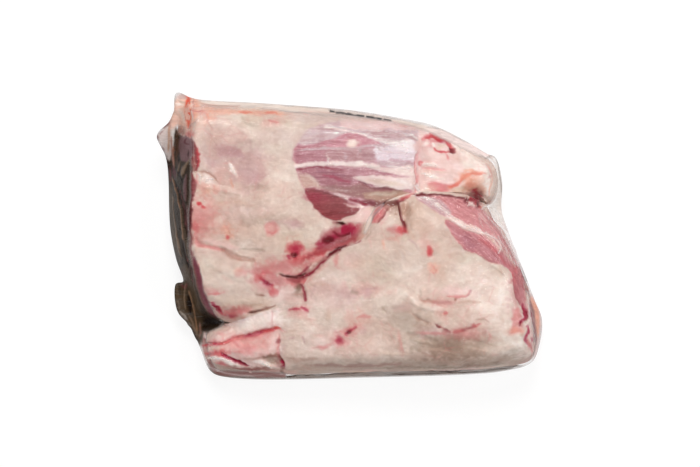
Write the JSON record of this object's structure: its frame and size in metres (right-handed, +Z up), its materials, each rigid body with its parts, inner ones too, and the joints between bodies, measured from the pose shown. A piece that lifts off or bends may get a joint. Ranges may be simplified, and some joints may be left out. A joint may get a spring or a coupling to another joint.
{
  "type": "vacuum-packed raw hind shanks",
  "caption": "Raw lamb hind shanks lying head to tail, drawn down tight in a clear vacuum bag with a narrow loose rim. Rests flat on its underside.",
  "frame": {"origin": "on the table, under the middle of the pack's bounding box", "axes": "+X along the pack towards the upper shank's ankle, +Y across it towards the upper shank, +Z up"},
  "size_m": [0.2113, 0.158, 0.0518],
  "materials": {
    "film_over_meat": "cream fat and rose meat under clear glossy film"
  },
  "bodies": {
    "root": {"vacuum_pack": "film_over_meat"}
  },
  "joints": []
}
